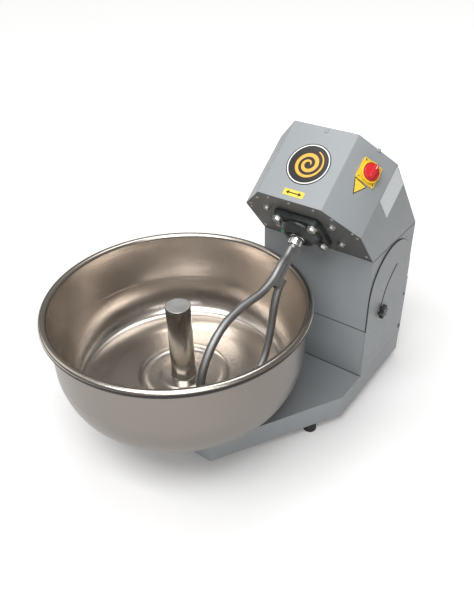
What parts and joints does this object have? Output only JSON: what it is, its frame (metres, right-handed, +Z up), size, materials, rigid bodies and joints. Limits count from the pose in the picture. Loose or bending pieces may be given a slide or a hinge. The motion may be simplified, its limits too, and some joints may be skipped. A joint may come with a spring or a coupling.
{
  "type": "commercial dough kneader",
  "caption": "Tilting-head fork dough kneader: wide round steel bowl with a centre post, two-tine fork on a slanted shaft, grey folded-sheet column, head and base.",
  "frame": {"origin": "middle of the object's box, on the surface that the feet stand on", "axes": "+Z up; +Y from the bowl to the column; +X to the side with the switch and the clamp knob"},
  "size_m": [0.5576, 0.7577, 0.6203],
  "materials": {
    "satin_grey_paint": "satin powder coat, light grey",
    "underside_grey_paint": "satin, darker grey",
    "stainless": "spun stainless steel with fine circular lines",
    "fork_steel": "ground stainless bar",
    "bearing_chrome": "polished",
    "mild_steel": "bare rolled steel",
    "zinc_plate": "zinc plated",
    "green_casting": "dark green enamel on cast iron",
    "motor_alloy": "die cast, painted grey",
    "black_rubber": "matt",
    "black_plastic": "fine grain",
    "yellow_plastic": "semi gloss",
    "red_plastic": "semi gloss",
    "green_plastic": "semi gloss"
  },
  "bodies": {
    "root": {"base_pan": "satin_grey_paint", "bottom_plate": "underside_grey_paint", "foot_1": "black_rubber", "foot_2": "black_rubber", "foot_3": "black_rubber", "foot_4": "black_rubber", "foot_5": "black_rubber", "foot_6": "black_rubber", "right_side_panel": "satin_grey_paint", "left_side_panel": "satin_grey_paint", "lower_front_panel": "satin_grey_paint", "rear_panel": "satin_grey_paint", "cable_gland": "black_plastic", "pivot_bracket_left": "mild_steel", "pivot_bracket_right": "mild_steel", "pivot_shaft": "mild_steel", "rest_bar": "mild_steel", "bowl_beam": "satin_grey_paint", "bowl_bearing": "green_casting"},
    "head": {"head_cover": "satin_grey_paint", "front_plate": "underside_grey_paint", "tilting_hood": "satin_grey_paint", "tilt_arm_left": "mild_steel", "tilt_arm_right": "mild_steel", "flange_bearing": "green_casting", "flange_bolt_1": "zinc_plate", "flange_bolt_2": "zinc_plate", "flange_bolt_3": "zinc_plate", "flange_bolt_4": "zinc_plate", "grease_nipple": "green_plastic", "bearing_bridge": "mild_steel", "rear_bearing": "green_casting", "drive_belt": "black_rubber", "motor_bracket": "mild_steel", "gear_case": "motor_alloy", "motor_body": "motor_alloy", "motor_fan_cover": "black_plastic", "terminal_box": "black_plastic", "switch_plate": "yellow_plastic", "switch_ring": "yellow_plastic", "switch_body": "black_plastic", "lock_stud": "zinc_plate"},
    "fork": {"fork_shaft": "fork_steel", "fork_tine_front": "fork_steel", "fork_tine_rear": "fork_steel", "shaft_collar": "bearing_chrome", "driven_pulley": "green_casting"},
    "motor_rotor": {"motor_output_shaft": "mild_steel", "drive_pulley": "green_casting"},
    "bowl": {"bowl": "stainless", "centre_post": "stainless", "bowl_hub_flange": "mild_steel", "bowl_spindle": "mild_steel"},
    "switch_knob": {"switch_knob": "red_plastic"},
    "clamp_knob": {"star_knob": "black_plastic", "lock_washer": "zinc_plate"}
  },
  "joints": [
    {"name": "head_tilt", "type": "hinge", "parent": "root", "child": "head", "pos_m": [0.1347, 0.33615, 0.2065], "axis": [-1, 0, 0], "range_deg": [0, 54]},
    {"name": "fork_spin", "type": "hinge", "parent": "head", "child": "fork", "pos_m": [0.1347, 0.10553, 0.44275], "axis": [0, -0.7853, -0.6191], "continuous": true},
    {"name": "motor_spin", "type": "hinge", "parent": "head", "child": "motor_rotor", "pos_m": [0.1347, 0.18601, 0.34066], "axis": [0, -0.7853, -0.6191], "continuous": true},
    {"name": "bowl_spin", "type": "hinge", "parent": "root", "child": "bowl", "pos_m": [-0.0138, -0.11385, 0.1215], "axis": [0, 0, 1], "continuous": true},
    {"name": "switch_turn", "type": "hinge", "parent": "head", "child": "switch_knob", "pos_m": [0.23469, 0.15484, 0.55901], "axis": [0.7769, -0.3898, 0.4944], "range_deg": [0, 90]},
    {"name": "clamp_knob_turn", "type": "hinge", "parent": "head", "child": "clamp_knob", "pos_m": [0.2666, 0.22029, 0.22278], "axis": [1, 0, 0], "range_deg": [0, 360]}
  ],
  "couplings": [
    {"joint": "motor_spin", "follows": "fork_spin", "ratio": 3}
  ]
}
